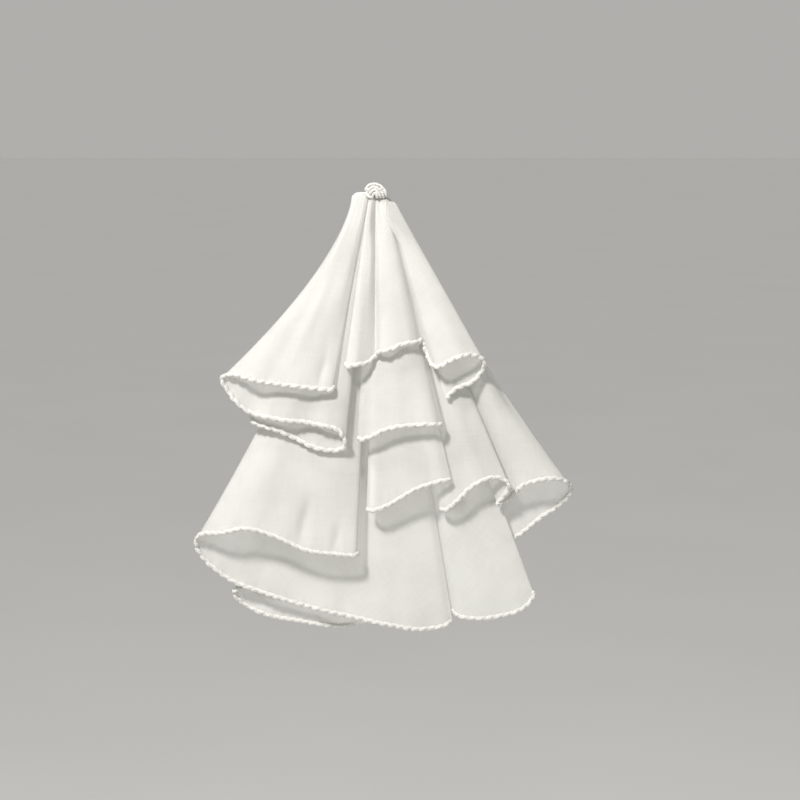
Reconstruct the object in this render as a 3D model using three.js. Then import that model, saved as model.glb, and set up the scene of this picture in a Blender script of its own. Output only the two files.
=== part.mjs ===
// A detachable ruffled collar: tiers of folded cloth that fan out from one gathered head, with a knot
// and a bar pin. Millimetres, +Z up, the front faces -Y. The origin is in the middle of the back of the
// pin's plate, behind the gathered head.

import * as THREE from 'three';
import { mergeVertices } from 'three/addons/utils/BufferGeometryUtils.js';

// Cloth
const CLOTH_WALL = 1.0;
const LEVELS = 7; // rows of faces from the gathered head to the hem
const LEVEL_CROWDING = 1.35; // above 1, the rows are closer near the head
const STATIONS_PER_SPAN = 2; // columns of faces from one row of a fold table to the next

// Gathered head: the layers lie one behind the other, and spread sideways with the angle that they leave
// at. Heights and drops of the cloth and the knot count from the head, which stands above the pin's middle.
const HEAD_HEIGHT = 11;
const HEAD_DROP = 1.5;
const STACK_BACK = 3.3; // from the pin's plate to the middle of the rearmost layer
const STACK_PITCH = 1.35;
const GATHER_OFFSET = -1.0;
const GATHER_PER_DEGREE = 0.386;
const LEFT_SHOULDER = -12.5; // left of here the head's edge rounds down
const LEFT_ROUNDING = 0.15;
const RIGHT_SHOULDER = 2; // right of here it slopes down
const RIGHT_SLOPE = 0.8;

// How a layer leaves the head, and the chest that it is worn on
const BULGE = 0.65; // below 1, a layer comes forward early and then hangs
const CHEST_FORWARD = 22;
const CHEST_DROP = 190;

// Fold tables. A row is one place along a hem, in the order in which the hem runs:
// degrees from straight down (right is positive), reach of the hem from the gathered head,
// forward of the wearer's chest at the hem, layer in the stack, and sideways flare (1 is straight).
const COLUMNS = ['degrees', 'reach', 'forward', 'layer', 'flare'];

// Slots of the stack, from the front: 9 and 8 the top tier, 7 its rear fold and the middle tier,
// 6 and 5 the third tier, 5 and 4 the lower left, 3 to 1 the rear sheet, 0 the fold behind them all.
const TOP_LEFT = [
  [-29.8, 160, 26.5, 7, 1.1],
  [-28.6, 163, 29.0, 7, 1.1],
  [-21.8, 161, 30.5, 7, 1.0],
  [-14.0, 164, 30.5, 7, 1.0],
  [-9.0, 163, 30.0, 7, 1.0],
  [-7.5, 159, 32.5, 7.5, 1.0],
  [-9.2, 150, 35.5, 8, 1.0],
  [-16.0, 149, 36.5, 8, 1.0],
  [-24.5, 154, 36.5, 8, 1.1],
  [-31.0, 158, 36.0, 8, 1.2],
  [-36.5, 155, 36.0, 8, 1.4],
  [-40.3, 150, 38.5, 8.5, 1.5],
  [-38.6, 143, 42.0, 9, 1.5],
  [-33.0, 138, 44.0, 9, 1.3],
  [-24.0, 130, 43.0, 9, 1.1],
  [-15.5, 126, 41.0, 9, 1.0],
  [-13.4, 125, 39.0, 9, 1.0],
  [-12.6, 123, 36.0, 9, 1.0],
];

const TOP_RIGHT = [
  [-10.6, 107, 34.5, 9, 1.0],
  [-9.9, 109, 38.0, 9, 1.0],
  [-7.4, 107, 41.0, 9, 1.0],
  [-4.4, 106, 39.5, 9, 1.0],
  [-2.2, 104, 36.5, 9, 1.0],
  [-0.7, 101, 33.5, 9, 1.0],
  [0.2, 99, 36.0, 9, 1.0],
  [1.6, 98, 39.0, 9, 1.0],
  [4.5, 97, 40.5, 9, 1.0],
  [9.0, 95, 40.5, 9, 1.0],
  [13.0, 95, 39.0, 9, 1.0],
  [15.3, 96, 36.0, 9, 1.0],
  [16.7, 96, 32.0, 9, 1.0],
  [17.4, 111, 35.0, 9, 1.0],
  [19.4, 114, 39.0, 9, 1.0],
  [25.8, 113, 41.0, 9, 1.0],
  [30.4, 116, 39.5, 9, 1.0],
  [32.6, 123, 35.5, 8.5, 1.0],
  [30.2, 129, 31.0, 8, 1.0],
  [26.6, 132, 29.5, 8, 1.0],
  [21.7, 132, 29.0, 8, 1.0],
  [18.3, 136, 28.0, 8, 1.0],
];

const MIDDLE = [
  [-4.8, 153, 30.5, 7, 1.0],
  [-4.0, 154, 34.0, 7, 1.0],
  [-1.9, 152, 36.0, 7, 1.0],
  [0.8, 148, 36.5, 7, 1.0],
  [4.0, 146, 37.0, 7, 1.0],
  [8.8, 146, 37.0, 7, 1.0],
  [12.0, 147, 36.5, 7, 1.0],
  [14.7, 149, 34.5, 7, 1.0],
  [15.8, 150, 30.5, 7, 1.0],
];

const THIRD_CENTRE = [
  [-1.9, 199, 24.0, 6, 1.0],
  [-1.2, 200, 27.0, 6, 1.0],
  [1.5, 197, 28.0, 6, 1.0],
  [4.4, 192, 28.5, 6, 1.0],
  [6.8, 188, 29.0, 6, 1.0],
  [9.6, 186, 29.0, 6, 1.0],
  [12.6, 185, 28.5, 6, 1.0],
  [14.3, 186, 26.5, 6, 1.0],
];

const THIRD_RIGHT = [
  [11.0, 204, 19.0, 5, 1.0],
  [12.0, 205, 22.0, 5, 1.0],
  [14.7, 200, 23.5, 5, 1.0],
  [17.4, 195, 24.0, 5, 1.0],
  [21.0, 193, 24.0, 5, 1.0],
  [23.3, 196, 22.5, 5, 1.0],
  [24.2, 202, 20.5, 4.5, 1.0],
  [22.7, 208, 18.0, 4, 1.0],
  [20.9, 212, 15.5, 3.5, 1.0],
  [23.0, 212, 13.5, 3, 1.0],
  [26.3, 207, 17.5, 3, 1.0],
  [28.8, 208, 20.0, 3, 1.05],
  [31.0, 211, 20.0, 3, 1.12],
  [32.9, 218, 16.5, 2.3, 1.17],
  [32.9, 227, 9.5, 0.7, 1.17],
  [29.7, 232, 5.5, 0, 1.1],
  [26.9, 233, 4.5, 0, 1.0],
  [22.5, 238, 4.5, 0, 1.0],
  [18.0, 241, 4.5, 0, 1.0],
];

const LOW_LEFT = [
  [-3.4, 228, 24.0, 5, 1.0],
  [-3.7, 229, 28.5, 5, 1.0],
  [-7.3, 229, 31.0, 5, 1.0],
  [-11.6, 229, 31.5, 5, 1.0],
  [-17.2, 225, 32.0, 5, 1.0],
  [-21.8, 227, 31.0, 5, 1.05],
  [-24.8, 236, 28.0, 5, 1.15],
  [-27.3, 243, 23.0, 4.8, 1.22],
  [-27.5, 251, 18.0, 4.3, 1.25],
  [-25.8, 258, 14.5, 4, 1.2],
  [-21.0, 265, 14.0, 4, 1.1],
  [-14.0, 267, 14.0, 4, 1.0],
  [-5.4, 271, 15.0, 4, 1.0],
  [0.8, 276, 16.0, 4, 1.0],
  [5.5, 281, 16.0, 4, 1.0],
  [8.8, 281, 15.0, 4, 1.0],
  [9.8, 279, 12.0, 4, 1.0],
];

const BACK = [
  [-12.0, 262, 11.0, 3.0, 1.0],
  [-17.0, 266, 10.5, 3.0, 1.0],
  [-19.8, 272, 8.5, 2.5, 1.0],
  [-18.8, 278, 6.0, 2.0, 1.0],
  [-14.6, 282, 5.5, 2.0, 1.0],
  [-10.2, 281, 6.0, 2.0, 1.0],
  [-5.2, 281, 6.5, 2.0, 1.0],
  [-1.5, 277, 7.0, 2.0, 1.0],
  [4.0, 271, 7.0, 2.0, 1.0],
  [9.4, 272, 8.0, 2.0, 1.0],
  [11.0, 277, 12.5, 2.0, 1.0],
  [13.8, 281, 14.0, 2.0, 1.0],
  [17.9, 283, 14.0, 2.0, 1.0],
  [20.0, 281, 12.5, 2.0, 1.0],
  [21.2, 276, 10.5, 1.5, 1.0],
  [19.6, 273, 8.5, 1.0, 1.0],
  [17.0, 271, 8.0, 1.0, 1.0],
  [13.0, 268, 8.0, 1.0, 1.0],
];

// Knot: an arch of looped edging over the stack of layers
const KNOT_CENTRE_X = -1.2;
const KNOT_WIDTH = 14;
const KNOT_TOP = 5;
const KNOT_FRONT = 22.4;
const KNOT_FOOT = -3.6;
const KNOT_BACK = 1.5;
const KNOT_BACK_FOOT = -12.5; // down behind the layers, to the pin that is sewn to it
const KNOT_INSIDE_BACK = 2.5;
const KNOT_INSIDE_FRONT = 16.6;
const KNOT_INSIDE_FOOT = 19; // the inside slopes out over the layers as they come forward
const KNOT_INSIDE_TOP = -0.8;
const KNOT_WALL = 1;
const KNOT_SHOULDER = -0.8; // where the outer arch springs from
const KNOT_SQUARENESS = 0.7; // 1 is an ellipse, lower is squarer
const KNOT_SECTIONS = 10;
const KNOT_ARC_STEPS = 14;

// Bar pin: a plate with a straight pin behind it, joined at both ends
const PIN_LENGTH = 16;
const PIN_HEIGHT = 4;
const PIN_PLATE = 1.2;
const PIN_GAP = 3;
const PIN_ROD = 1;
const PIN_END = 2;
const PIN_CORNER = 0.8;

// Materials
const cloth = { color: 0xf4f4ef, roughness: 0.85, metalness: 0 };
const edging = { color: 0xfafaf6, roughness: 0.7, metalness: 0 };
const steel = { color: 0xb9bbbd, roughness: 0.3, metalness: 1 };

// A closed surface from its points and faces, with points at one place merged
function solidGeometry(points, faces) {
  const geometry = new THREE.BufferGeometry();
  geometry.setAttribute('position', new THREE.Float32BufferAttribute(points.flat(), 3));
  geometry.setIndex(faces.flat());
  const merged = mergeVertices(geometry);
  merged.computeVertexNormals();
  return merged;
}

function namedMesh(name, geometry, look) {
  const mesh = new THREE.Mesh(geometry, new THREE.MeshStandardMaterial(look));
  mesh.name = name;
  return mesh;
}

// Folded cloth
function readTable(rows) {
  return rows.map((row) => Object.fromEntries(COLUMNS.map((name, i) => [name, row[i]])));
}

function blend(a, b, share) {
  return a + (b - a) * share;
}

function chestForward(drop) {
  const share = Math.min(Math.max(drop, 0) / CHEST_DROP, 1);
  return CHEST_FORWARD * Math.sin((share * Math.PI) / 2);
}

// Places along a hem: the hem's x, forward and drop as x, y and z, with the layer and flare there
function hemStations(rows) {
  const points = rows.map(({ degrees, reach, forward }) => {
    const angle = THREE.MathUtils.degToRad(degrees);
    return new THREE.Vector3(reach * Math.sin(angle), forward, reach * Math.cos(angle));
  });
  const curve = new THREE.CatmullRomCurve3(points, false, 'centripetal');
  const spans = rows.length - 1;
  const stations = [];
  for (let i = 0; i <= spans * STATIONS_PER_SPAN; i += 1) {
    const place = i / STATIONS_PER_SPAN;
    const span = Math.min(Math.floor(place), spans - 1);
    const share = place - span;
    const hem = curve.getPoint(place / spans);
    stations.push({
      hem,
      layer: blend(rows[span].layer, rows[span + 1].layer, share),
      flare: blend(rows[span].flare, rows[span + 1].flare, share),
    });
  }
  return stations;
}

// How far the gathered edge lies below the head: rounded at its left end, sloping at its right
function headDrop(headX) {
  const left = LEFT_ROUNDING * Math.max(LEFT_SHOULDER - headX, 0) ** 2;
  const right = RIGHT_SLOPE * Math.max(headX - RIGHT_SHOULDER, 0);
  return HEAD_DROP + left + right;
}

// The middle of the cloth at a share of the way from the head to the hem
function clothPoint({ hem, layer, flare }, share) {
  const degrees = THREE.MathUtils.radToDeg(Math.atan2(hem.x, hem.z));
  const headX = GATHER_OFFSET + GATHER_PER_DEGREE * degrees;
  const headForward = STACK_BACK + STACK_PITCH * layer;
  const drop = blend(headDrop(headX), hem.z, share);
  const forward = blend(headForward, hem.y, share ** BULGE) + chestForward(drop);
  return new THREE.Vector3(blend(headX, hem.x, share ** flare), -forward, -drop);
}

function clothMesh(name, table) {
  const stations = hemStations(readTable(table));
  const shares = Array.from({ length: LEVELS + 1 }, (_, i) => (i / LEVELS) ** LEVEL_CROWDING);
  const grid = stations.map((station) => shares.map((share) => clothPoint(station, share)));
  const last = stations.length - 1;
  const gridPoint = (i, j) => grid[THREE.MathUtils.clamp(i, 0, last)][THREE.MathUtils.clamp(j, 0, LEVELS)];
  const points = [];
  for (const side of [0.5, -0.5]) {
    for (let i = 0; i <= last; i += 1) {
      for (let j = 0; j <= LEVELS; j += 1) {
        const across = gridPoint(i + 1, j).clone().sub(gridPoint(i - 1, j)).normalize();
        const along = gridPoint(i, j + 1).clone().sub(gridPoint(i, j - 1));
        const normal = across.cross(along).normalize();
        points.push(grid[i][j].clone().addScaledVector(normal, side * CLOTH_WALL).toArray());
      }
    }
  }
  const at = (side, i, j) => (side * (last + 1) + i) * (LEVELS + 1) + j;
  const faces = [];
  const quad = (a, b, c, d) => faces.push([a, b, c], [a, c, d]);
  for (let i = 0; i < last; i += 1) {
    for (let j = 0; j < LEVELS; j += 1) {
      quad(at(0, i, j), at(0, i + 1, j), at(0, i + 1, j + 1), at(0, i, j + 1));
      quad(at(1, i, j), at(1, i, j + 1), at(1, i + 1, j + 1), at(1, i + 1, j));
    }
    quad(at(0, i, 0), at(1, i, 0), at(1, i + 1, 0), at(0, i + 1, 0));
    quad(at(0, i, LEVELS), at(0, i + 1, LEVELS), at(1, i + 1, LEVELS), at(1, i, LEVELS));
  }
  for (let j = 0; j < LEVELS; j += 1) {
    quad(at(0, 0, j), at(0, 0, j + 1), at(1, 0, j + 1), at(1, 0, j));
    quad(at(0, last, j), at(1, last, j), at(1, last, j + 1), at(0, last, j + 1));
  }
  return namedMesh(name, solidGeometry(points, faces), cloth);
}

// Knot: outer arches from the front foot over the top to the back foot, around one straight inner arch
function knotArch(x, fullness) {
  const middle = (KNOT_INSIDE_BACK + KNOT_INSIDE_FRONT) / 2;
  const front = blend(KNOT_INSIDE_FOOT + KNOT_WALL, KNOT_FRONT, fullness);
  const top = blend(KNOT_INSIDE_TOP + KNOT_WALL, KNOT_TOP, fullness);
  const outer = [[KNOT_INSIDE_FOOT + KNOT_WALL, KNOT_FOOT]];
  for (let k = 0; k <= KNOT_ARC_STEPS; k += 1) {
    const turn = (Math.PI * k) / KNOT_ARC_STEPS;
    const side = Math.cos(turn) > 0 ? front - middle : middle - KNOT_BACK;
    const squareness = Math.sign(Math.cos(turn)) * Math.abs(Math.cos(turn)) ** KNOT_SQUARENESS;
    const height = KNOT_SHOULDER + (top - KNOT_SHOULDER) * Math.sin(turn) ** KNOT_SQUARENESS;
    outer.push([middle + side * squareness, height]);
  }
  outer.push([KNOT_BACK, KNOT_BACK_FOOT]);
  const inner = [
    [KNOT_INSIDE_BACK, KNOT_BACK_FOOT],
    [KNOT_INSIDE_BACK, KNOT_INSIDE_TOP],
    [KNOT_INSIDE_FRONT, KNOT_INSIDE_TOP],
    [KNOT_INSIDE_FOOT, KNOT_FOOT],
  ];
  return [...outer, ...inner].map(([forward, z]) => [x, -forward, z]);
}

function knot() {
  const sections = [];
  for (let i = 0; i <= KNOT_SECTIONS; i += 1) {
    const across = -Math.cos((Math.PI * i) / KNOT_SECTIONS);
    const fullness = Math.sqrt(Math.max(0, 1 - across * across));
    sections.push(knotArch(KNOT_CENTRE_X + (KNOT_WIDTH / 2) * across, fullness));
  }
  const around = sections[0].length;
  const faces = [];
  for (let i = 0; i < KNOT_SECTIONS; i += 1) {
    for (let k = 0; k < around; k += 1) {
      const next = (k + 1) % around;
      const here = i * around;
      const there = here + around;
      faces.push([here + k, there + k, there + next], [here + k, there + next, here + next]);
    }
  }
  const outline = sections[0].map(([, y, z]) => new THREE.Vector2(y, z));
  const end = KNOT_SECTIONS * around;
  for (const [a, b, c] of THREE.ShapeUtils.triangulateShape(outline, [])) {
    faces.push([a, c, b], [end + a, end + b, end + c]);
  }
  return namedMesh('knot', solidGeometry(sections.flat(), faces), edging);
}

// Bar pin, drawn from above and raised to its height
function roundedBar(left, right, low, high, corner) {
  const bar = new THREE.Shape();
  bar.moveTo(left + corner, low);
  bar.lineTo(right - corner, low);
  bar.quadraticCurveTo(right, low, right, low + corner);
  bar.lineTo(right, high - corner);
  bar.quadraticCurveTo(right, high, right - corner, high);
  bar.lineTo(left + corner, high);
  bar.quadraticCurveTo(left, high, left, high - corner);
  bar.lineTo(left, low + corner);
  bar.quadraticCurveTo(left, low, left + corner, low);
  return bar;
}

function collarPin() {
  const half = PIN_LENGTH / 2;
  const outline = roundedBar(-half, half, -PIN_PLATE, PIN_GAP + PIN_ROD, PIN_CORNER);
  outline.holes.push(roundedBar(-half + PIN_END, half - PIN_END, 0, PIN_GAP, PIN_CORNER));
  const geometry = new THREE.ExtrudeGeometry(outline, {
    depth: PIN_HEIGHT,
    bevelEnabled: false,
    curveSegments: 4,
  });
  geometry.translate(0, 0, -PIN_HEIGHT / 2);
  return namedMesh('collar_pin', geometry, steel);
}

const softPieces = new THREE.Group();
softPieces.position.z = HEAD_HEIGHT;
softPieces.add(
  clothMesh('ruffle_top_left', TOP_LEFT),
  clothMesh('ruffle_top_right', TOP_RIGHT),
  clothMesh('ruffle_middle', MIDDLE),
  clothMesh('ruffle_third_centre', THIRD_CENTRE),
  clothMesh('ruffle_third_right', THIRD_RIGHT),
  clothMesh('ruffle_low_left', LOW_LEFT),
  clothMesh('ruffle_back', BACK),
  knot(),
);

const collar = new THREE.Group();
collar.add(softPieces, collarPin());

export default collar;
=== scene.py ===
"""A detachable ruffled collar: chiffon tiers with beaded edging, a looped knot and a bar pin."""

import math

import bpy
import numpy as np
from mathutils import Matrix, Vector

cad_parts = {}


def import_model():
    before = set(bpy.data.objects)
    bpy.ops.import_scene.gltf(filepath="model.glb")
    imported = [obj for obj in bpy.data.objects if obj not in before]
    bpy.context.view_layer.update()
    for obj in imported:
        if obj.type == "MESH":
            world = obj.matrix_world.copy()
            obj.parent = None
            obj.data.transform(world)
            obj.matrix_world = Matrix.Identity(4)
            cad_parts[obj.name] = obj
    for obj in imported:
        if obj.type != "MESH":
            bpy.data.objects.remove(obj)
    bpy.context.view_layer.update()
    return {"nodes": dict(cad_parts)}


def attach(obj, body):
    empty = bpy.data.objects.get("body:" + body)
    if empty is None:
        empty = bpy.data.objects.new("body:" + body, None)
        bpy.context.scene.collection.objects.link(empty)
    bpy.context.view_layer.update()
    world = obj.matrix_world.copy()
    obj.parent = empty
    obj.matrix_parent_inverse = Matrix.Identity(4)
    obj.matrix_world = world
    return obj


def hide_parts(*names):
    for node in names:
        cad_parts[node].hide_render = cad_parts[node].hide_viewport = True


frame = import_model()

# Lengths are in millimetres until a mesh is made
MM = 0.001
SEED = 7

# Gathered head and the curve under its layers, as in the CAD; cloth and knot heights count from the head
HEAD_HEIGHT = 11
HEAD_DROP = 1.5
STACK_BACK = 3.3
STACK_PITCH = 1.35
GATHER_OFFSET = -1.0
GATHER_PER_DEGREE = 0.386
LEFT_SHOULDER = -12.5
LEFT_ROUNDING = 0.15
RIGHT_SHOULDER = 2
RIGHT_SLOPE = 0.8
BULGE = 0.65
CHEST_FORWARD = 22
CHEST_DROP = 190

# Fold tables, as in the CAD: degrees from straight down, reach from the head, forward of that curve,
# layer in the stack, and sideways flare
TOP_LEFT = [
    (-29.8, 160, 26.5, 7, 1.1),
    (-28.6, 163, 29.0, 7, 1.1),
    (-21.8, 161, 30.5, 7, 1.0),
    (-14.0, 164, 30.5, 7, 1.0),
    (-9.0, 163, 30.0, 7, 1.0),
    (-7.5, 159, 32.5, 7.5, 1.0),
    (-9.2, 150, 35.5, 8, 1.0),
    (-16.0, 149, 36.5, 8, 1.0),
    (-24.5, 154, 36.5, 8, 1.1),
    (-31.0, 158, 36.0, 8, 1.2),
    (-36.5, 155, 36.0, 8, 1.4),
    (-40.3, 150, 38.5, 8.5, 1.5),
    (-38.6, 143, 42.0, 9, 1.5),
    (-33.0, 138, 44.0, 9, 1.3),
    (-24.0, 130, 43.0, 9, 1.1),
    (-15.5, 126, 41.0, 9, 1.0),
    (-13.4, 125, 39.0, 9, 1.0),
    (-12.6, 123, 36.0, 9, 1.0),
]
TOP_RIGHT = [
    (-10.6, 107, 34.5, 9, 1.0),
    (-9.9, 109, 38.0, 9, 1.0),
    (-7.4, 107, 41.0, 9, 1.0),
    (-4.4, 106, 39.5, 9, 1.0),
    (-2.2, 104, 36.5, 9, 1.0),
    (-0.7, 101, 33.5, 9, 1.0),
    (0.2, 99, 36.0, 9, 1.0),
    (1.6, 98, 39.0, 9, 1.0),
    (4.5, 97, 40.5, 9, 1.0),
    (9.0, 95, 40.5, 9, 1.0),
    (13.0, 95, 39.0, 9, 1.0),
    (15.3, 96, 36.0, 9, 1.0),
    (16.7, 96, 32.0, 9, 1.0),
    (17.4, 111, 35.0, 9, 1.0),
    (19.4, 114, 39.0, 9, 1.0),
    (25.8, 113, 41.0, 9, 1.0),
    (30.4, 116, 39.5, 9, 1.0),
    (32.6, 123, 35.5, 8.5, 1.0),
    (30.2, 129, 31.0, 8, 1.0),
    (26.6, 132, 29.5, 8, 1.0),
    (21.7, 132, 29.0, 8, 1.0),
    (18.3, 136, 28.0, 8, 1.0),
]
MIDDLE = [
    (-4.8, 153, 30.5, 7, 1.0),
    (-4.0, 154, 34.0, 7, 1.0),
    (-1.9, 152, 36.0, 7, 1.0),
    (0.8, 148, 36.5, 7, 1.0),
    (4.0, 146, 37.0, 7, 1.0),
    (8.8, 146, 37.0, 7, 1.0),
    (12.0, 147, 36.5, 7, 1.0),
    (14.7, 149, 34.5, 7, 1.0),
    (15.8, 150, 30.5, 7, 1.0),
]
THIRD_CENTRE = [
    (-1.9, 199, 24.0, 6, 1.0),
    (-1.2, 200, 27.0, 6, 1.0),
    (1.5, 197, 28.0, 6, 1.0),
    (4.4, 192, 28.5, 6, 1.0),
    (6.8, 188, 29.0, 6, 1.0),
    (9.6, 186, 29.0, 6, 1.0),
    (12.6, 185, 28.5, 6, 1.0),
    (14.3, 186, 26.5, 6, 1.0),
]
THIRD_RIGHT = [
    (11.0, 204, 19.0, 5, 1.0),
    (12.0, 205, 22.0, 5, 1.0),
    (14.7, 200, 23.5, 5, 1.0),
    (17.4, 195, 24.0, 5, 1.0),
    (21.0, 193, 24.0, 5, 1.0),
    (23.3, 196, 22.5, 5, 1.0),
    (24.2, 202, 20.5, 4.5, 1.0),
    (22.7, 208, 18.0, 4, 1.0),
    (20.9, 212, 15.5, 3.5, 1.0),
    (23.0, 212, 13.5, 3, 1.0),
    (26.3, 207, 17.5, 3, 1.0),
    (28.8, 208, 20.0, 3, 1.05),
    (31.0, 211, 20.0, 3, 1.12),
    (32.9, 218, 16.5, 2.3, 1.17),
    (32.9, 227, 9.5, 0.7, 1.17),
    (29.7, 232, 5.5, 0, 1.1),
    (26.9, 233, 4.5, 0, 1.0),
    (22.5, 238, 4.5, 0, 1.0),
    (18.0, 241, 4.5, 0, 1.0),
]
LOW_LEFT = [
    (-3.4, 228, 24.0, 5, 1.0),
    (-3.7, 229, 28.5, 5, 1.0),
    (-7.3, 229, 31.0, 5, 1.0),
    (-11.6, 229, 31.5, 5, 1.0),
    (-17.2, 225, 32.0, 5, 1.0),
    (-21.8, 227, 31.0, 5, 1.05),
    (-24.8, 236, 28.0, 5, 1.15),
    (-27.3, 243, 23.0, 4.8, 1.22),
    (-27.5, 251, 18.0, 4.3, 1.25),
    (-25.8, 258, 14.5, 4, 1.2),
    (-21.0, 265, 14.0, 4, 1.1),
    (-14.0, 267, 14.0, 4, 1.0),
    (-5.4, 271, 15.0, 4, 1.0),
    (0.8, 276, 16.0, 4, 1.0),
    (5.5, 281, 16.0, 4, 1.0),
    (8.8, 281, 15.0, 4, 1.0),
    (9.8, 279, 12.0, 4, 1.0),
]
BACK = [
    (-12.0, 262, 11.0, 3, 1.0),
    (-17.0, 266, 10.5, 3, 1.0),
    (-19.8, 272, 8.5, 2.5, 1.0),
    (-18.8, 278, 6.0, 2, 1.0),
    (-14.6, 282, 5.5, 2, 1.0),
    (-10.2, 281, 6.0, 2, 1.0),
    (-5.2, 281, 6.5, 2, 1.0),
    (-1.5, 277, 7.0, 2, 1.0),
    (4.0, 271, 7.0, 2, 1.0),
    (9.4, 272, 8.0, 2, 1.0),
    (11.0, 277, 12.5, 2, 1.0),
    (13.8, 281, 14.0, 2, 1.0),
    (17.9, 283, 14.0, 2, 1.0),
    (20.0, 281, 12.5, 2, 1.0),
    (21.2, 276, 10.5, 1.5, 1.0),
    (19.6, 273, 8.5, 1, 1.0),
    (17.0, 271, 8.0, 1, 1.0),
    (13.0, 268, 8.0, 1, 1.0),
]
RUFFLES = {
    "top_left": TOP_LEFT,
    "top_right": TOP_RIGHT,
    "middle": MIDDLE,
    "third_centre": THIRD_CENTRE,
    "third_right": THIRD_RIGHT,
    "low_left": LOW_LEFT,
    "back": BACK,
}

# Local swells and hollows: ruffle, layer, degrees, distance from the head, width in degrees, height,
# and how far they move the cloth forward and to the right (less than 0 is back and to the left)
SWELLS = [
    ("low_left", 5, -12.5, 216, 1.0, 13, -2.4, 0),
    ("low_left", 5, -6.8, 224, 0.8, 9, -1.7, 0),
    ("low_left", 5, -20.0, 158, 4.0, 30, -1.2, 0),
    ("top_left", 9, -17.0, 121, 1.2, 9, -1.3, 0),
    ("top_left", 9, -27.0, 95, 3.0, 30, 1.2, 0),
    ("top_left", 9, -13.0, 75, 2.6, 50, -1.8, 0),
    ("top_right", 9, -5.5, 20, 4.2, 13, 3.0, -1.0),
    ("top_right", 9, -4.0, 50, 2.6, 32, 1.5, 0),
    ("top_right", 9, 4.5, 14, 6.0, 11, -2.0, 0),
    ("top_right", 9, 19.0, 16, 2.5, 13, 2.0, -2.4),
    ("top_right", 9, 24.0, 15, 6.0, 14, 3.8, -5.0),
    ("middle", 7, 8.5, 97, 4.6, 24, 5.2, 0),
    ("third_centre", 6, 7.0, 145, 6.0, 28, 2.5, 0),
    ("third_right", 5, 19.0, 132, 5.0, 34, 4.6, 0),
    ("third_right", 3, 28.5, 125, 5.0, 38, 8.0, 0),
]

# Fineness of the cloth's grid
SAMPLES_PER_SPAN = 60
COLUMN_WIDTH = 1.25
LEVEL_HEIGHT = 4.4
FEWEST_LEVELS = 30
LEVEL_CROWDING = 0.75  # 0 is even, near 1 the levels crowd to the head and the hem
HEAD_SHARES = (0, 0.001, 0.003, 0.006)
FEWEST_COLUMNS = 8

# Meshes and directions
SHARP_DEGREES = 50  # an edge that turns more than this is shaded sharp
LEAST_LENGTH = 1e-9  # a direction is never divided by less

# Cloth: distances run from the head down the cloth
CLOTH_HALF = 0.15  # half the wall of the cloth
HEAD_HALF = 0.28  # half the wall where the gathers are bunched
HEAD_ROUND = 1.3
THINNEST_HEAD = 0.02  # square of the share of the wall that is left at the very edge
BUNCHED = (2, 9)  # where the bunched wall starts to thin, and where it is as thin as the rest
GATHER_DEGREES = 6.5
GATHER_DEPTH = 0.1
GATHER_WAVES = [(1, 0.65), (1.73, 0.35)]  # waves for each GATHER_DEGREES, and share of the depth
GATHERS_AT_HEAD = 0.55  # of the depth that they have at GATHER_RISE
GATHER_RISE = 12
GATHER_FADE = 42
SWELL_FADE = (0.1, 0.5)  # layers from its own at which a swell starts to fade, and is gone
PHASES = 8  # random numbers that each ruffle draws, of which its waves use six

# Soft folds that run through all layers: degrees a wave, phase, depth
LONG_FOLDS = [
    (12.5, 0.8, 0.7),
    (6.9, 2.1, 0.2),
]
LONG_FOLD_START = 35
LONG_FOLD_FULL = 150

# Waves of a hem: length of hem a wave, depth, and how far up the cloth it reaches
HEM_WAVES = [
    (47, 0.45, 30),
    (19, 0.2, 12),
]
OVERTONE_LENGTH = 0.61  # of the length of the wave that it goes with
OVERTONE_DEPTH = 0.5  # of the depth of that wave
PUCKER_DEPTH = 0.16
PUCKER_REACH = 3.5

# Beaded edging: a wrapped cord with leaning oval beads on its outer side
BEAD_PITCH = 5.4
BEAD_SHARE = 0.86  # of the pitch that the bead takes
BEAD_HALF_HEIGHT = 1.72
BEAD_HALF_DEPTH = 1.5
CORD_HALF = 1.12
BEAD_LEAN = 1.5
BEAD_SCALLOP = 0.25
BEAD_VARIETY = 0.22
WRAP_PITCH = 0.95
WRAP_HEIGHT = 0.2
EDGE_STEP = 0.22
EDGE_SIDES = 16
EDGE_OVERHANG = 0.2
FEWEST_RINGS = 12
CLOSED_END = 0.03  # square of the share of the cord's thickness that is left at its very ends
BEAD_DRIFT = 0.25  # of a pitch that the beads stray from their even places
BEAD_DRIFT_LENGTH = 2.7  # pitches for each radian of the straying
WRAP_LEAN = 0.35  # of a wrap, from the cord's sides to its outer line
WRAP_DRIFT = 0.5  # wraps for each pitch that the beads stray

# Knot, as in the CAD, with its core a little smaller so that the cords lie on it
KNOT_CENTRE_X = -1.2
KNOT_WIDTH = 12.6
KNOT_TOP = 2.6
KNOT_FRONT = 21.4
KNOT_FOOT = -3.6
KNOT_BACK = 1.6
KNOT_BACK_FOOT = -12.4
KNOT_INSIDE_BACK = 2.5
KNOT_INSIDE_FRONT = 16.6
KNOT_INSIDE_FOOT = 19
KNOT_INSIDE_TOP = -0.8
KNOT_WALL = 0.7
KNOT_SHOULDER = -0.8
KNOT_SQUARENESS = 0.7
KNOT_SECTIONS = 28
KNOT_ARC_STEPS = 44

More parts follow.
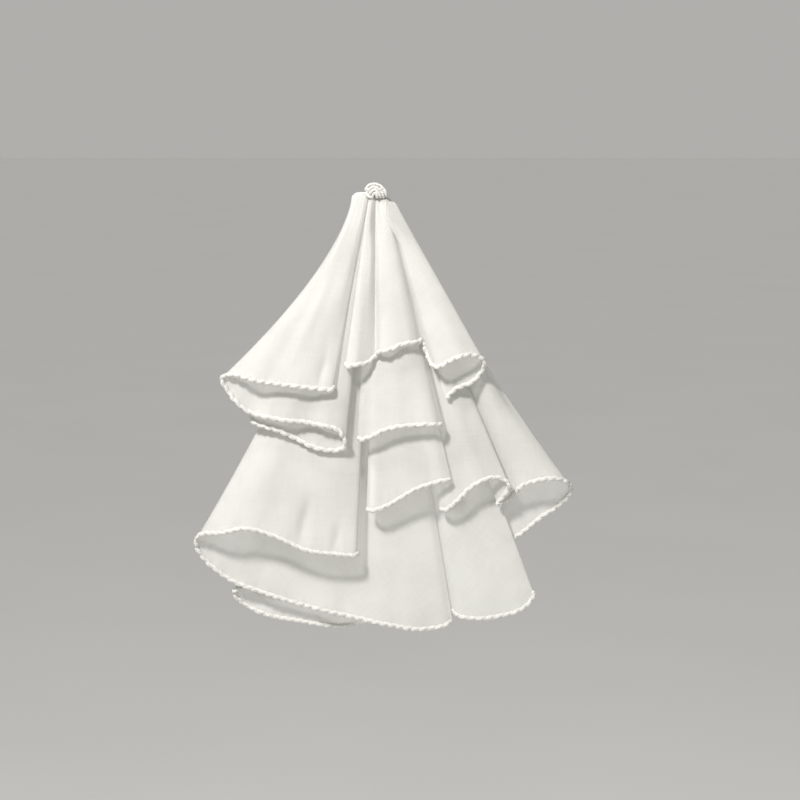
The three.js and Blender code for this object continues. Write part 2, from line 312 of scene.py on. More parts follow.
# Cords of the knot, as x, height and how far they stand forward of its core: nested arches that open
# to the lower left, a small loop under them, and a tail that closes the lower left
KNOT_CORDS = {
    "outer": [
        (-7.7, -0.6, -2.6),
        (-7.2, 1.4, -1.6),
        (-5.4, 3.3, -1.1),
        (-2.6, 4.1, -1.0),
        (0.4, 3.5, -0.9),
        (2.8, 1.9, -0.8),
        (4.4, -0.4, -0.7),
        (5.2, -2.6, -1.1),
        (5.6, -4.4, -2.8),
    ],
    "middle": [
        (-6.3, -1.4, -1.4),
        (-5.5, 0.4, -0.6),
        (-4.1, 1.8, -0.3),
        (-2.3, 2.3, -0.2),
        (-0.2, 1.6, -0.1),
        (1.5, 0.1, -0.1),
        (2.7, -1.8, -0.2),
        (3.5, -3.6, -1.0),
        (3.7, -5.0, -2.6),
    ],
    "inner": [
        (-4.8, -2.6, -0.8),
        (-4.2, -0.9, 0.1),
        (-3.0, 0.2, 0.4),
        (-1.7, 0.4, 0.5),
        (-0.4, -0.4, 0.5),
        (0.7, -1.9, 0.3),
        (1.5, -3.5, -0.4),
        (1.8, -5.0, -2.2),
    ],
    "loop": [
        (-3.2, -4.2, -0.8),
        (-2.9, -2.6, 0.4),
        (-2.0, -1.6, 0.7),
        (-1.1, -2.2, 0.6),
        (-0.5, -3.7, 0.2),
        (-0.3, -5.0, -1.6),
    ],
    "tail": [
        (-7.9, -0.9, -2.0),
        (-7.1, -2.5, -0.8),
        (-5.7, -3.6, 0.0),
        (-4.3, -4.3, -0.2),
        (-3.0, -4.9, -1.6),
    ],
}
KNOT_CORD_SCALE = 0.78
KNOT_BEADS = 0.3  # of the height of the beads along a hem
KNOT_CORD_MIDDLE = -3  # height of the point that the front cords' beads turn away from
KNOT_TOP_SLOPE = 0.6  # of the height over the head that the knot loses towards its back
KNOT_SLOPE_START = math.pi / 4  # round the arch from its front

# Cords over the knot's top
STRAND_OFFSETS = (-5.6, -3.4, -1.2, 1.0, 3.2)
STRAND_SCALE = 0.72
STRAND_MARGIN = 2  # more than the knot's width, in the width that sets how full an arch is
STRAND_FRONT_SKIP = 3  # points of the outline that a cord leaves out at its front
STRAND_BACK_SKIP = 6  # before point KNOT_ARC_STEPS of the outline, where a cord ends
STRAND_LIFT = 0.1
STRAND_SINK = 1.6
STRAND_SINK_FROM = 0.8  # of the cord's points
STRAND_LEVEL = 0.01  # a direction this little below level still counts as up

# Camera, at the photograph's viewing angle
AIM = (13.98, -45, -119.44)
CAMERA_DISTANCE = 1400
CAMERA_ELEVATION = 8
CAMERA_LENS = 100
SENSOR = 36

# Light: the direction that the key light comes from, as the shadows of the hems show it
KEY_FROM = (-10, -17, 19)
KEY_DISTANCE = 1400
KEY_SIZE = 190
KEY_POWER = 21.5
KEY_COLOUR = (1, 0.985, 0.955)
FILL_FROM = (0.35, -1, 0.3)
FILL_DISTANCE = 2200
FILL_SIZE = 1500
FILL_POWER = 3
FILL_COLOUR = (1, 0.97, 0.92)
FLOOR_Z = -900
FLOOR_HALF = 30000
FLOOR_GLOW = 0.17  # of the world's light behind, which the floor would otherwise lack at the horizon
WORLD_BEHIND = (0.435, 0.43, 0.415)
WORLD_IN_FRONT = (0.33, 0.325, 0.305)
WORLD_TURN = 0.5  # how far behind the collar, 0 to 1, the light is as strong as it gets

# Looks: the darkest and lightest tone of each material, and the sizes and depths of its patterns
CHIFFON_TONES = (0.862, 0.86, 0.832), (0.936, 0.935, 0.916)
CHIFFON_RANGE = (0.4, 0.6)  # of the noise that the tones spread over
SLUB_LENGTH = 18
SLUB_WIDTH = 0.9
CLOUD_SIZE = 24
WEAVE_PERIOD = 0.5
CREPE_SIZE = 1.1
CHIFFON_BUMP = 0.03
THREAD_TONES = (0.72, 0.715, 0.68), (0.92, 0.917, 0.892)
THREAD_PATCH = 0.9
THREAD_WRAP = 0.55
THREAD_FUZZ = 0.6
THREAD_BUMP = 0.2
STEEL_TONES = (0.55, 0.56, 0.57), (0.7, 0.71, 0.72)
STEEL_BRUSHING = (60, 4000, 4000)  # streaks a metre along the bar, and across it
STEEL_BUMP = 0.01
FLOOR_TONES = (0.92, 0.92, 0.92), (0.94, 0.94, 0.94)
FLOOR_PATCH = 400
NOISE_RANGE = (0.35, 0.65)
NOISE_DETAIL = 2
FINE_DETAIL = 3
WAVE_RADIANS = 20  # that a wave texture turns for each unit of its scaled place


# Curves
def fine_places(rows):
    """Places along a curve through rows, SAMPLES_PER_SPAN of them from each row to the next."""
    return np.linspace(0, len(rows) - 1, (len(rows) - 1) * SAMPLES_PER_SPAN + 1)


def catmull_rom(points, places):
    """Points of a centripetal curve through rows; a place is a row number and a share of the next span."""
    padded = np.vstack([2 * points[0] - points[1], points, 2 * points[-1] - points[-2]])
    spans = np.minimum(places.astype(int), len(points) - 2)
    share = (places - spans)[:, None]
    before, start, end, after = (padded[spans + k] for k in range(4))
    step_before = np.linalg.norm(start - before, axis=1, keepdims=True) ** 0.5
    step = np.linalg.norm(end - start, axis=1, keepdims=True) ** 0.5
    step_after = np.linalg.norm(after - end, axis=1, keepdims=True) ** 0.5
    leave = (start - before) / step_before - (end - before) / (step_before + step) + (end - start) / step
    arrive = (end - start) / step - (after - start) / (step + step_after) + (after - end) / step_after
    leave = leave * step
    arrive = arrive * step
    return (
        (2 * share**3 - 3 * share**2 + 1) * start
        + (share**3 - 2 * share**2 + share) * leave
        + (3 * share**2 - 2 * share**3) * end
        + (share**3 - share**2) * arrive
    )


def arc_lengths(points):
    steps = np.linalg.norm(np.diff(points, axis=0), axis=1)
    return np.concatenate([[0], np.cumsum(steps)])


def resample(values, old_places, new_places):
    """Columns of values at new places along them."""
    return np.stack([np.interp(new_places, old_places, column) for column in values.T], axis=1)


def moving_average(values, width):
    padded = np.pad(values, width, mode="edge")
    return np.convolve(padded, np.ones(2 * width + 1) / (2 * width + 1), mode="valid")


def smooth_step(values, low, high):
    share = np.clip((values - low) / (high - low), 0, 1)
    return share * share * (3 - 2 * share)


def normalized(vectors):
    return vectors / np.maximum(np.linalg.norm(vectors, axis=-1, keepdims=True), LEAST_LENGTH)


# Objects
def linked_object(name, data):
    made = bpy.data.objects.new(name, data)
    bpy.context.scene.collection.objects.link(made)
    return made


def mesh_object(name, points, faces, uvs, material):
    """A smooth-shaded object from points in millimetres, and a uv for each point."""
    mesh = bpy.data.meshes.new(name)
    mesh.from_pydata((points * MM).tolist(), [], faces)
    layer = mesh.uv_layers.new(name="UVMap")
    corners = np.zeros(len(mesh.loops), dtype=int)
    mesh.loops.foreach_get("vertex_index", corners)
    layer.data.foreach_set("uv", (uvs[corners] * MM).ravel())
    mesh.shade_smooth()
    mesh.set_sharp_from_angle(angle=math.radians(SHARP_DEGREES))
    mesh.materials.append(material)
    mesh.validate()
    return linked_object(name, mesh)


# Cloth
def hem_degrees(hem):
    return np.degrees(np.arctan2(hem[:, 0], hem[:, 2]))


def hem_stations(rows):
    """Evenly spaced places along a hem: the hem's x, forward and drop, and the layer and flare there."""
    table = np.array(rows, dtype=float)
    degrees, reach, forward, layer, flare = table.T
    angle = np.radians(degrees)
    corners = np.stack([reach * np.sin(angle), forward, reach * np.cos(angle)], axis=1)
    places = fine_places(rows)
    hem = catmull_rom(corners, places)
    row_numbers = np.arange(len(rows))
    soft_layer = moving_average(np.interp(places, row_numbers, layer), SAMPLES_PER_SPAN // 2)
    soft_flare = moving_average(np.interp(places, row_numbers, flare), SAMPLES_PER_SPAN // 2)
    lengths = arc_lengths(hem)
    columns = max(int(round(lengths[-1] / COLUMN_WIDTH)), FEWEST_COLUMNS)
    wanted = np.linspace(0, lengths[-1], columns + 1)
    values = np.column_stack([hem, soft_layer, soft_flare])
    even = resample(values, lengths, wanted)
    return even[:, :3], even[:, 3], even[:, 4], wanted


def level_shares(longest):
    """Shares of the way from the head to the hem, closest together at both ends."""
    levels = max(FEWEST_LEVELS, int(round(longest / LEVEL_HEIGHT)))
    even = np.linspace(0, 1, levels + 1)
    crowded = even - LEVEL_CROWDING / (2 * math.pi) * np.sin(2 * math.pi * even)
    start = HEAD_SHARES[-1]
    return np.concatenate([HEAD_SHARES[:-1], start + (1 - start) * crowded])


def head_drop(head_x):
    """How far the gathered edge lies below the head: rounded at its left end, sloping at its right."""
    left = LEFT_ROUNDING * np.maximum(LEFT_SHOULDER - head_x, 0) ** 2
    right = RIGHT_SLOPE * np.maximum(head_x - RIGHT_SHOULDER, 0)
    return HEAD_DROP + left + right


def cloth_grid(hem, layer, flare, shares):
    """The middle of the cloth, column by column from the head to the hem."""
    degrees = hem_degrees(hem)[:, None]
    head_x = GATHER_OFFSET + GATHER_PER_DEGREE * degrees
    head_forward = STACK_BACK + STACK_PITCH * layer[:, None]
    share = shares[None, :]
    drop = head_drop(head_x) + (hem[:, 2:3] - head_drop(head_x)) * share
    chest = CHEST_FORWARD * np.sin(np.clip(drop / CHEST_DROP, 0, 1) * math.pi / 2)
    forward = head_forward + (hem[:, 1:2] - head_forward) * share**BULGE + chest
    x = head_x + (hem[:, 0:1] - head_x) * share ** flare[:, None]
    return np.stack([x, -forward, HEAD_HEIGHT - drop], axis=2)


def grid_normals(grid):
    """Unit normals of a grid's points, on the side that the columns and levels turn to."""
    across = np.gradient(grid, axis=0)
    along = np.gradient(grid, axis=1)
    return normalized(np.cross(normalized(across), normalized(along)))


def swells(name, hem, layer, distance):
    """How far the local swells and hollows of a ruffle move each point of the grid, as x, y and z."""
    degrees = hem_degrees(hem)
    total = np.zeros((*distance.shape, 3))
    for swollen, at_layer, at_degrees, at_distance, width, height, forward, right in SWELLS:
        if swollen == name:
            near = np.exp(-(((degrees - at_degrees) / width) ** 2))
            level = np.exp(-(((distance - at_distance) / height) ** 2))
            same_layer = 1 - smooth_step(np.abs(layer - at_layer), *SWELL_FADE)
            strength = (near * same_layer)[:, None] * level
            total += strength[..., None] * [right, -forward, 0]
    return total


def fold_depth(hem, arcs, distance, rng):
    """How far the fine gathers and the waves of the hem stand off the cloth at each point of the grid."""
    turned = np.concatenate([[0], np.cumsum(np.abs(np.diff(hem_degrees(hem))))])[:, None]
    phases = rng.uniform(0, 2 * math.pi, PHASES)
    gather_phases, hem_phases, overtone_phases = phases[:2], phases[2:4], phases[4:6]
    wave = 2 * math.pi * turned / GATHER_DEGREES
    gathers = np.zeros_like(wave)
    for (rate, part), phase in zip(GATHER_WAVES, gather_phases):
        gathers += part * np.sin(rate * wave + phase)
    rise = GATHERS_AT_HEAD + (1 - GATHERS_AT_HEAD) * smooth_step(distance, 0, GATHER_RISE)
    depth = GATHER_DEPTH * gathers * rise * (1 - smooth_step(distance, GATHER_RISE, GATHER_FADE))
    to_hem = distance[:, -1:] - distance
    along = 2 * math.pi * arcs[:, None]
    for (length, height, reach), phase, overtone_phase in zip(HEM_WAVES, hem_phases, overtone_phases):
        overtone = OVERTONE_DEPTH * np.sin(along / (OVERTONE_LENGTH * length) + overtone_phase)
        sway = np.sin(along / length + phase) + overtone
        depth = depth + height * sway * np.exp(-to_hem / reach)
    pucker = np.sin(along / BEAD_PITCH)
    return depth + PUCKER_DEPTH * pucker * np.exp(-to_hem / PUCKER_REACH)


def shift_forward(grid):
    """Folds that run through all the layers alike, so that none passes through its neighbour."""
    x, y, z = grid[..., 0], grid[..., 1], grid[..., 2]
    drop = HEAD_HEIGHT - z
    degrees = np.degrees(np.arctan2(x, drop))
    distance = np.hypot(x, drop)
    start = smooth_step(distance, LONG_FOLD_START, LONG_FOLD_FULL)
    for length, phase, depth in LONG_FOLDS:
        y = y - depth * start * np.sin(2 * math.pi * degrees / length + phase)
    return np.stack([x, y, z], axis=2)


def wall_half(distance):
    """Half the wall: bunched and rounded at the head, thin over the rest."""
    bunched = CLOTH_HALF + (HEAD_HALF - CLOTH_HALF) * (1 - smooth_step(distance, *BUNCHED))
    rounded = np.sqrt(np.clip(1 - (1 - np.clip(distance / HEAD_ROUND, 0, 1)) ** 2, THINNEST_HEAD, 1))
    return bunched * rounded


def shell_faces(columns, levels):
    """Quads of a closed shell whose two sides are grids, with their borders joined."""
    numbers = np.arange(2 * columns * levels).reshape(2, columns, levels)
    outer, inner = numbers
    groups = [
        (outer[:-1, :-1], outer[1:, :-1], outer[1:, 1:], outer[:-1, 1:]),
        (inner[:-1, :-1], inner[:-1, 1:], inner[1:, 1:], inner[1:, :-1]),
        (outer[:-1, 0], inner[:-1, 0], inner[1:, 0], outer[1:, 0]),
        (outer[:-1, -1], outer[1:, -1], inner[1:, -1], inner[:-1, -1]),
        (outer[0, :-1], outer[0, 1:], inner[0, 1:], inner[0, :-1]),
        (outer[-1, :-1], inner[-1, :-1], inner[-1, 1:], outer[-1, 1:]),
    ]
    return [face for group in groups for face in np.stack(group, axis=-1).reshape(-1, 4).tolist()]


def ruffle(name, rows, cloth, edging, rng):
    """One folded sheet of chiffon with its beaded hem, in the place of its CAD node."""
    hem, layer, flare, arcs = hem_stations(rows)
    reach = np.linalg.norm(hem[:, [0, 2]], axis=1)
    shares = level_shares(reach.max())
    grid = shift_forward(cloth_grid(hem, layer, flare, shares))
    steps = np.linalg.norm(np.diff(grid, axis=1), axis=2)
    distance = np.concatenate([np.zeros((len(hem), 1)), np.cumsum(steps, axis=1)], axis=1)
    grid = grid + swells(name, hem, layer, distance)
    depth = fold_depth(hem, arcs, distance, rng)
    grid = grid + grid_normals(grid) * depth[..., None]
    normals = grid_normals(grid)
    half = wall_half(distance)[..., None]
    points = np.concatenate([grid + normals * half, grid - normals * half]).reshape(-1, 3)
    # The cut is part of a ring, so the weave lies at another angle to each fold
    turn = (arcs / reach.mean())[:, None]
    flat = np.stack([distance * np.sin(turn), distance * np.cos(turn)], axis=2)
    uvs = np.concatenate([flat, flat]).reshape(-1, 2)
    sheet = mesh_object(f"chiffon_{name}", points, shell_faces(*distance.shape), uvs, cloth)
    picot = hem_edging(name, grid, normals, edging, rng)
    for piece, slot in ((sheet, "chiffon"), (picot, "edging")):
        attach(piece, "root")
    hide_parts(f"ruffle_{name}")


# Beaded edging
def bead_profile(places, sizes):
    """0 on the thin cord and 1 at the middle of a bead, for places counted in beads."""
    number = np.clip(np.floor(places).astype(int), 0, len(sizes) - 1)
    across = (places - np.floor(places) - 0.5) / (BEAD_SHARE / 2)
    return np.sqrt(np.clip(1 - across**2, 0, 1)) * sizes[number]


def cord_faces(rings, inside_out):
    """Quads round a cord, then the faces that close its two ends."""
    numbers = np.arange((rings + 1) * EDGE_SIDES).reshape(rings + 1, EDGE_SIDES)
    turned = np.roll(numbers, -1, axis=1)
    quads = np.stack([numbers[:-1], turned[:-1], turned[1:], numbers[1:]], axis=-1).reshape(-1, 4)
    faces = quads.tolist() + [numbers[0][::-1].tolist(), numbers[-1].tolist()]
    return [face[::-1] for face in faces] if inside_out else faces


def beaded_cord(name, line, outward, facing, material, rng, scale=1.0, beads=1.0):
    """A cord of leaning beads along a line; its height goes outward and its depth to the facing side."""
    lengths = arc_lengths(line)
    rings = max(int(round(lengths[-1] / (EDGE_STEP * scale))), FEWEST_RINGS)
    wanted = np.linspace(0, lengths[-1], rings + 1)
    line = resample(line, lengths, wanted)
    along = normalized(np.gradient(line, axis=0))
    facing = resample(facing, lengths, wanted)
    facing = normalized(facing - (facing * along).sum(axis=1, keepdims=True) * along)
    outward = resample(outward, lengths, wanted)
    sideways = np.cross(facing, along)
    sideways = sideways * np.sign((sideways * outward).sum(axis=1, keepdims=True))
    pitch = BEAD_PITCH * scale
    sizes = 1 - BEAD_VARIETY + 2 * BEAD_VARIETY * rng.random(int(lengths[-1] / pitch) + 2)
    angles = 2 * math.pi * np.arange(EDGE_SIDES) / EDGE_SIDES
    up, out = np.cos(angles)[None, :], np.sin(angles)[None, :]
    drift = BEAD_DRIFT * np.sin(wanted / (BEAD_DRIFT_LENGTH * pitch))[:, None]
    leaning = (wanted[:, None] + BEAD_LEAN * scale * up) / pitch + drift
    bead = beads * bead_profile(leaning, sizes)
    to_end = np.minimum(wanted, lengths[-1] - wanted)
    closing = np.sqrt(np.clip(to_end / CORD_HALF, CLOSED_END, 1))[:, None]
    turns = wanted[:, None] / (WRAP_PITCH * scale) + WRAP_LEAN * up + WRAP_DRIFT * drift
    wrap = WRAP_HEIGHT * (np.abs(np.sin(math.pi * turns)) - 1)
    height = scale * closing * (CORD_HALF + (BEAD_HALF_HEIGHT - CORD_HALF) * bead + wrap)
    depth = scale * closing * (CORD_HALF + (BEAD_HALF_DEPTH - CORD_HALF) * bead + wrap)
    middle = scale * BEAD_SCALLOP * bead
    to_side = (height * up + middle)[..., None] * sideways[:, None]
    to_front = (depth * out)[..., None] * facing[:, None]
    points = (line[:, None] + (to_side + to_front)).reshape(-1, 3)
    inside_out = np.dot(np.cross(sideways[0], facing[0]), along[0]) < 0
    # Both sides of the cord run from its outer line to its inner line, so the uv has no seam
    around = scale * CORD_HALF * (math.pi - np.abs(angles - math.pi))
    shape = (rings + 1, EDGE_SIDES)
    uvs = np.stack([np.broadcast_to(wanted[:, None], shape), np.broadcast_to(around, shape)], axis=2)
    return mesh_object(name, points, cord_faces(rings, inside_out), uvs.reshape(-1, 2), material)


def hem_edging(name, grid, normals, material, rng):
    """The beaded edging along a ruffle's hem."""
    outward = normalized(grid[:, -1] - grid[:, -2])
    line = grid[:, -1] + EDGE_OVERHANG * outward
    return beaded_cord(f"picot_{name}", line, outward, normals[:, -1], material, rng)


# Knot
def knot_arch(x, fullness):
    """Outer and inner outline of the knot at one place across, as forward and height."""
    middle = (KNOT_INSIDE_BACK + KNOT_INSIDE_FRONT) / 2
    lowest_front = KNOT_INSIDE_FOOT + KNOT_WALL
    lowest_top = KNOT_INSIDE_TOP + KNOT_WALL
    front = lowest_front + (KNOT_FRONT - lowest_front) * fullness
    top = lowest_top + (KNOT_TOP - lowest_top) * fullness
    turn = np.linspace(0, math.pi, KNOT_ARC_STEPS + 1)
    side = np.where(np.cos(turn) > 0, front - middle, middle - KNOT_BACK)
    forward = middle + side * np.sign(np.cos(turn)) * np.abs(np.cos(turn)) ** KNOT_SQUARENESS
    slope = 1 - KNOT_TOP_SLOPE * smooth_step(turn, KNOT_SLOPE_START, math.pi)
    rise = lowest_top + (top - lowest_top) * slope - KNOT_SHOULDER
    height = KNOT_SHOULDER + rise * np.abs(np.sin(turn)) ** KNOT_SQUARENESS
    arch = np.column_stack([forward, height])
    front_foot = [(lowest_front, KNOT_FOOT)]
    back_foot = [(KNOT_BACK, KNOT_BACK_FOOT)]
    inner = [
        (KNOT_INSIDE_BACK, KNOT_BACK_FOOT),
        (KNOT_INSIDE_BACK, KNOT_INSIDE_TOP),
        (KNOT_INSIDE_FRONT, KNOT_INSIDE_TOP),
        (KNOT_INSIDE_FOOT, KNOT_FOOT),
    ]
    outline = np.vstack([front_foot, arch, back_foot, inner])
    return np.column_stack([np.full(len(outline), x), -outline[:, 0], HEAD_HEIGHT + outline[:, 1]])


def knot_core(material):
    """The wrapped core under the rosette's cords, in the place of the CAD knot."""
    turn = np.linspace(0, math.pi, KNOT_SECTIONS + 1)
    places = KNOT_CENTRE_X - KNOT_WIDTH / 2 * np.cos(turn)
    sections = np.stack([knot_arch(x, fullness) for x, fullness in zip(places, np.sin(turn))])
    around = sections.shape[1]
    numbers = np.arange(sections.shape[0] * around).reshape(-1, around)
    turned = np.roll(numbers, -1, axis=1)
    quads = np.stack([numbers[:-1], numbers[1:], turned[1:], turned[:-1]], axis=-1).reshape(-1, 4)
    faces = quads.tolist() + [numbers[0].tolist(), numbers[-1][::-1].tolist()]
    points = sections.reshape(-1, 3)
    uvs = points[:, [0, 2]]
    core = mesh_object("knot_core", points, faces, uvs, material)
    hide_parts("knot")
    return core


def knot_cord(name, rows, material, rng):
    """One cord of the knot's front, which follows the dome of its core."""
    x, height, forward = catmull_rom(np.array(rows, dtype=float), fine_places(rows)).T
    line = np.column_stack([x, -(KNOT_FRONT + forward), HEAD_HEIGHT + height])
    centre = np.array([KNOT_CENTRE_X, 0, HEAD_HEIGHT + KNOT_CORD_MIDDLE])
    outward = normalized((line - centre) * [1, 0, 1])
    facing = np.broadcast_to([0.0, -1.0, 0.0], line.shape)
    return beaded_cord(f"knot_{name}", line, outward, facing, material, rng, KNOT_CORD_SCALE, KNOT_BEADS)


def strand(number, offset, material, rng):
    """One cord that runs from the knot's front over its top to its back."""
    fullness = math.sqrt(1 - (2 * offset / (KNOT_WIDTH + STRAND_MARGIN)) ** 2)
    outline = knot_arch(KNOT_CENTRE_X + offset, fullness)
    arch = outline[STRAND_FRONT_SKIP : KNOT_ARC_STEPS - STRAND_BACK_SKIP]
    along = normalized(np.gradient(arch, axis=0))
    facing = np.broadcast_to([1.0, 0.0, 0.0], arch.shape)
    outward = normalized(np.cross(facing, along))
    outward = outward * np.sign(outward[:, 2:3] + STRAND_LEVEL)
    share = np.linspace(0, 1, len(arch))[:, None]
    sink = STRAND_SINK * smooth_step(share, STRAND_SINK_FROM, 1)
    line = arch + outward * (STRAND_LIFT - sink)
    name = f"knot_strand_{number}"
    return beaded_cord(name, line, outward, facing, material, rng, STRAND_SCALE, KNOT_BEADS)


def knot(material, rng):
    pieces = [knot_core(material)]
    pieces += [knot_cord(name, rows, material, rng) for name, rows in KNOT_CORDS.items()]
    pieces += [strand(number, offset, material, rng) for number, offset in enumerate(STRAND_OFFSETS)]
    for piece in pieces:
        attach(piece, "root")


# Materials
def new_material(name, settings):
    """A material with its nodes, links and shader, whose own sockets have the uniform settings."""
    material = bpy.data.materials.new(name)
    material.use_nodes = True
    nodes = material.node_tree.nodes
    shader = nodes["Principled BSDF"]
    for socket, value in settings.items():
        shader.inputs[socket].default_value = value
    return material, nodes, material.node_tree.links, shader


def uv_place(nodes):
    place = nodes.new("ShaderNodeUVMap")
    place.uv_map = "UVMap"
    return place.outputs["UV"]


def weave(nodes, links, period, direction):
    """Bands across one direction of the cloth's uv, one for each thread."""
    bands = nodes.new("ShaderNodeTexWave")
    bands.wave_type = "BANDS"
    bands.bands_direction = direction
    bands.inputs["Scale"].default_value = 2 * math.pi / (WAVE_RADIANS * period * MM)
    bands.inputs["Distortion"].default_value = 1.5
    bands.inputs["Detail"].default_value = 1
    bands.inputs["Detail Scale"].default_value = 0.4
    links.new(uv_place(nodes), bands.inputs["Vector"])
    return bands.outputs["Fac"]


def added(nodes, links, first, second):
    node = nodes.new("ShaderNodeMath")
    node.operation = "ADD"
    links.new(first, node.inputs[0])
    links.new(second, node.inputs[1])
    return node.outputs[0]


def noise(nodes, links, size, detail=NOISE_DETAIL):
    """Noise whose patches are about size across, in the object's own coordinates."""
    place = nodes.new("ShaderNodeTexCoord")
    cloud = nodes.new("ShaderNodeTexNoise")
    cloud.inputs["Scale"].default_value = 1 / (size * MM)
    cloud.inputs["Detail"].default_value = detail
    links.new(place.outputs["Object"], cloud.inputs["Vector"])
    return cloud.outputs["Fac"]


def stretched_noise(nodes, links, place, scale):
    """Noise with its own scale along each axis of a place."""
    stretch = nodes.new("ShaderNodeMapping")
    stretch.inputs["Scale"].default_value = scale
    cloud = nodes.new("ShaderNodeTexNoise")
    cloud.inputs["Scale"].default_value = 1
    cloud.inputs["Detail"].default_value = NOISE_DETAIL
    links.new(place, stretch.inputs["Vector"])
    links.new(stretch.outputs["Vector"], cloud.inputs["Vector"])
    return cloud.outputs["Fac"]


def streaks(nodes, links, along, across):
    """Slubs of the yarn: noise in the cloth's uv, drawn out to about along by across."""
    scale = (1 / (along * MM), 1 / (across * MM), 1)
    return stretched_noise(nodes, links, uv_place(nodes), scale)


def halved(nodes, links, value):
    node = nodes.new("ShaderNodeMath")
    node.operation = "MULTIPLY"
    node.inputs[1].default_value = 0.5
    links.new(value, node.inputs[0])
    return node.outputs[0]


def ramp(nodes, links, factor, tones, spread=NOISE_RANGE):
    """A colour between two tones, by a factor that mostly lies in the spread."""
    stops = nodes.new("ShaderNodeValToRGB")
    for stop, tone, position in zip(stops.color_ramp.elements, tones, spread):
        stop.position = position
        stop.color = (*tone, 1)
    links.new(factor, stops.inputs["Fac"])
    return stops.outputs["Color"]


def bumped(nodes, links, height, shader, depth):
    bump = nodes.new("ShaderNodeBump")
    bump.inputs["Strength"].default_value = 1
    bump.inputs["Distance"].default_value = depth * MM
    links.new(height, bump.inputs["Height"])
    links.new(bump.outputs["Normal"], shader.inputs["Normal"])


def chiffon():
    """Fine crepe-spun cloth, slightly see-through."""
    settings = {
        "Roughness": 0.85,
        "Specular IOR Level": 0.25,
        "Sheen Weight": 0.12,
        "Sheen Roughness": 0.5,
        "Alpha": 0.42,
    }
    material, nodes, links, shader = new_material("chiffon", settings)
    weft = streaks(nodes, links, SLUB_LENGTH, SLUB_WIDTH)
    warp = streaks(nodes, links, SLUB_WIDTH, SLUB_LENGTH)
    slubs = halved(nodes, links, added(nodes, links, weft, warp))
    cloud = halved(nodes, links, added(nodes, links, slubs, noise(nodes, links, CLOUD_SIZE)))
    tone = ramp(nodes, links, cloud, CHIFFON_TONES, CHIFFON_RANGE)
    links.new(tone, shader.inputs["Base Color"])
    across, along = (weave(nodes, links, WEAVE_PERIOD, direction) for direction in "XY")
    threads = added(nodes, links, across, along)
    crepe = noise(nodes, links, CREPE_SIZE, FINE_DETAIL)
    bumped(nodes, links, added(nodes, links, threads, crepe), shader, CHIFFON_BUMP)
    return material


def picot_thread():
    """Thick white thread wrapped across the edging."""
    settings = {
        "Roughness": 0.6,
        "Specular IOR Level": 0.35,
        "Sheen Weight": 0.2,
        "Sheen Roughness": 0.4,
    }
    material, nodes, links, shader = new_material("picot_thread", settings)
    tone = ramp(nodes, links, noise(nodes, links, THREAD_PATCH, FINE_DETAIL), THREAD_TONES)
    links.new(tone, shader.inputs["Base Color"])
    wraps = weave(nodes, links, THREAD_WRAP, "DIAGONAL")
    fuzz = noise(nodes, links, THREAD_FUZZ)
    bumped(nodes, links, added(nodes, links, wraps, fuzz), shader, THREAD_BUMP)
    return material


def pin_steel():
    """Plated steel with fine brushing along the bar."""
    material, nodes, links, shader = new_material("pin_steel", {"Metallic": 1, "Roughness": 0.3})
    place = nodes.new("ShaderNodeTexCoord").outputs["Object"]
    brushing = stretched_noise(nodes, links, place, STEEL_BRUSHING)
    links.new(ramp(nodes, links, brushing, STEEL_TONES), shader.inputs["Base Color"])
    bumped(nodes, links, brushing, shader, STEEL_BUMP)
    return material


def floor_material():
    settings = {
        "Roughness": 0.9,
        "Specular IOR Level": 0,
        "Emission Color": (*WORLD_BEHIND, 1),
        "Emission Strength": FLOOR_GLOW,
    }
    material, nodes, links, shader = new_material("pale_floor", settings)
    tone = ramp(nodes, links, noise(nodes, links, FLOOR_PATCH), FLOOR_TONES)
    links.new(tone, shader.inputs["Base Color"])
    return material


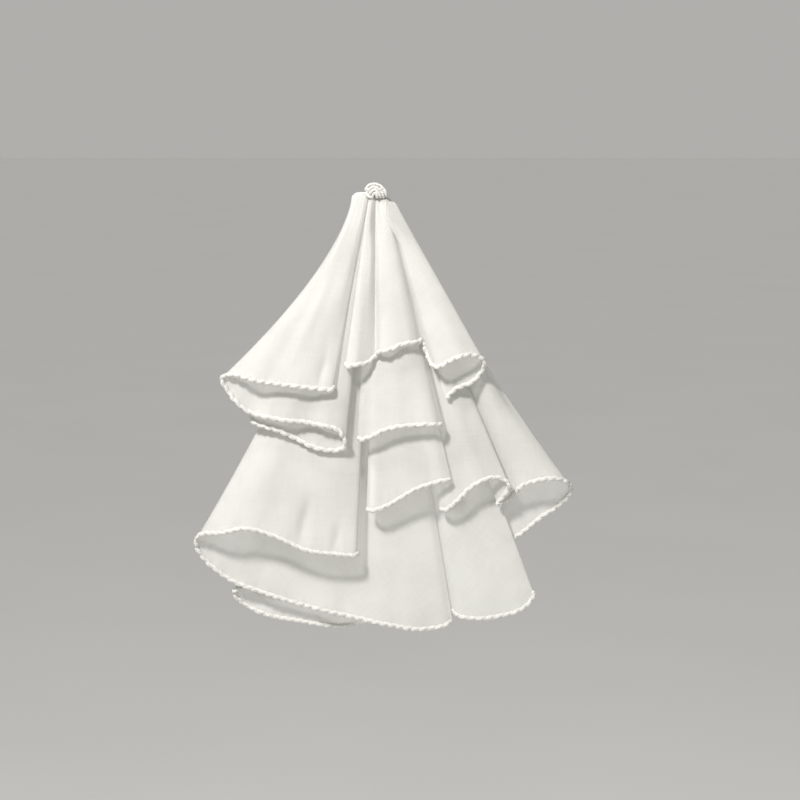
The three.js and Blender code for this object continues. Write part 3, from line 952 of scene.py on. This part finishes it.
# Stage
def floor():
    corners = [(-1, -1), (1, -1), (1, 1), (-1, 1)]
    points = np.array([(x * FLOOR_HALF, y * FLOOR_HALF, FLOOR_Z) for x, y in corners], dtype=float)
    made = mesh_object("floor", points, [(0, 1, 2, 3)], points[:, :2], floor_material())


def area_light(name, direction, distance, size, power, colour):
    """A round light that looks at the middle of the collar."""
    data = bpy.data.lights.new(name, "AREA")
    data.shape = "DISK"
    data.size = size * MM
    data.energy = power
    data.color = colour
    lamp = linked_object(name, data)
    towards = Vector(direction).normalized()
    lamp.location = (Vector(AIM) + towards * distance) * MM
    lamp.rotation_euler = (-towards).to_track_quat("-Z", "Y").to_euler()


def world():
    """Soft light from all round, weaker from the front."""
    made = bpy.data.worlds.new("studio")
    made.use_nodes = True
    nodes, links = made.node_tree.nodes, made.node_tree.links
    place = nodes.new("ShaderNodeTexCoord")
    axes = nodes.new("ShaderNodeSeparateXYZ")
    links.new(place.outputs["Generated"], axes.inputs["Vector"])
    tone = ramp(nodes, links, axes.outputs["Y"], (WORLD_IN_FRONT, WORLD_BEHIND), (0, WORLD_TURN))
    links.new(tone, nodes["Background"].inputs["Color"])
    bpy.context.scene.world = made


def camera():
    data = bpy.data.cameras.new("camera")
    data.lens = CAMERA_LENS
    data.sensor_width = SENSOR
    made = linked_object("camera", data)
    tilt = math.radians(CAMERA_ELEVATION)
    back = Vector((0, -math.cos(tilt), math.sin(tilt)))
    made.location = (Vector(AIM) + back * CAMERA_DISTANCE) * MM
    made.rotation_euler = (-back).to_track_quat("-Z", "Y").to_euler()
    bpy.context.scene.camera = made


def main():
    camera()
    area_light("key", KEY_FROM, KEY_DISTANCE, KEY_SIZE, KEY_POWER, KEY_COLOUR)
    area_light("fill", FILL_FROM, FILL_DISTANCE, FILL_SIZE, FILL_POWER, FILL_COLOUR)
    world()
    floor()
    bpy.context.scene.view_settings.view_transform = "Standard"
    rng = np.random.default_rng(SEED)
    cloth = chiffon()
    thread = picot_thread()
    knot(thread, rng)
    for name, rows in RUFFLES.items():
        ruffle(name, rows, cloth, thread, rng)
    pin_materials = frame["nodes"]["collar_pin"].data.materials
    pin_materials.clear()
    pin_materials.append(pin_steel())


main()
